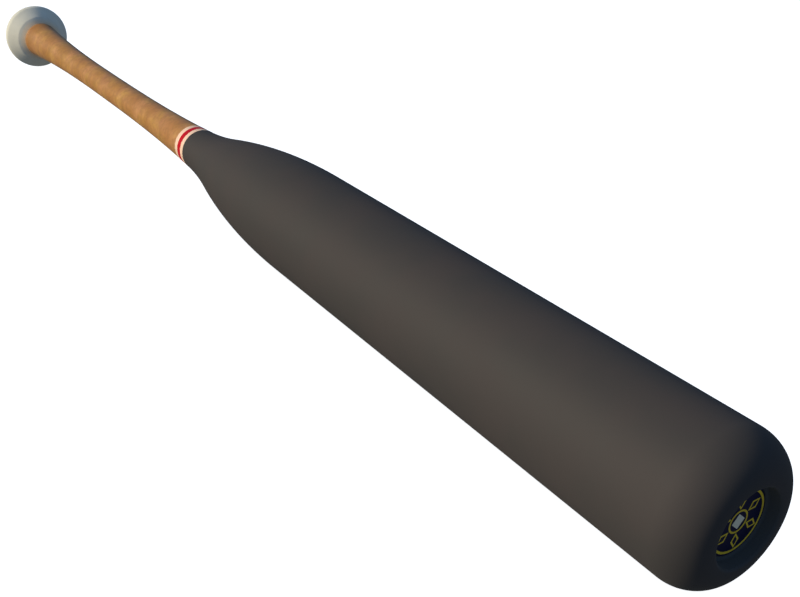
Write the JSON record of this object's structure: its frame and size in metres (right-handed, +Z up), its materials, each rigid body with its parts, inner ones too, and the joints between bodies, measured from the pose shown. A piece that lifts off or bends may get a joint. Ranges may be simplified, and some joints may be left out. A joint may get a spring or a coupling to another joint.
{
  "type": "baseball bat",
  "caption": "Turned wooden baseball bat with a flared knob, bare handle, ringed throat, dark dipped barrel and a shallow cupped end.",
  "frame": {"origin": "centre of the flat end face of the knob, on the turning axis", "axes": "+X along the turning axis from the knob to the barrel end, +Z up with the bat laid level, +Y completes the right-handed set"},
  "size_m": [0.838, 0.0662, 0.0661],
  "materials": {
    "bare_wood": "satin clear coat on honey-coloured wood",
    "white_paint": "satin off-white paint",
    "cream_paint": "satin cream paint",
    "red_paint": "satin red paint",
    "dark_lacquer": "satin charcoal-brown dipped lacquer",
    "printed_disc": "navy printed disc with gold and cream geometric pattern"
  },
  "bodies": {
    "root": {"billet": "bare_wood", "knob_paint": "white_paint", "ring_handle_side": "cream_paint", "ring_centre": "red_paint", "ring_barrel_side": "cream_paint", "barrel_lacquer": "dark_lacquer", "cup_disc": "printed_disc"}
  },
  "joints": []
}
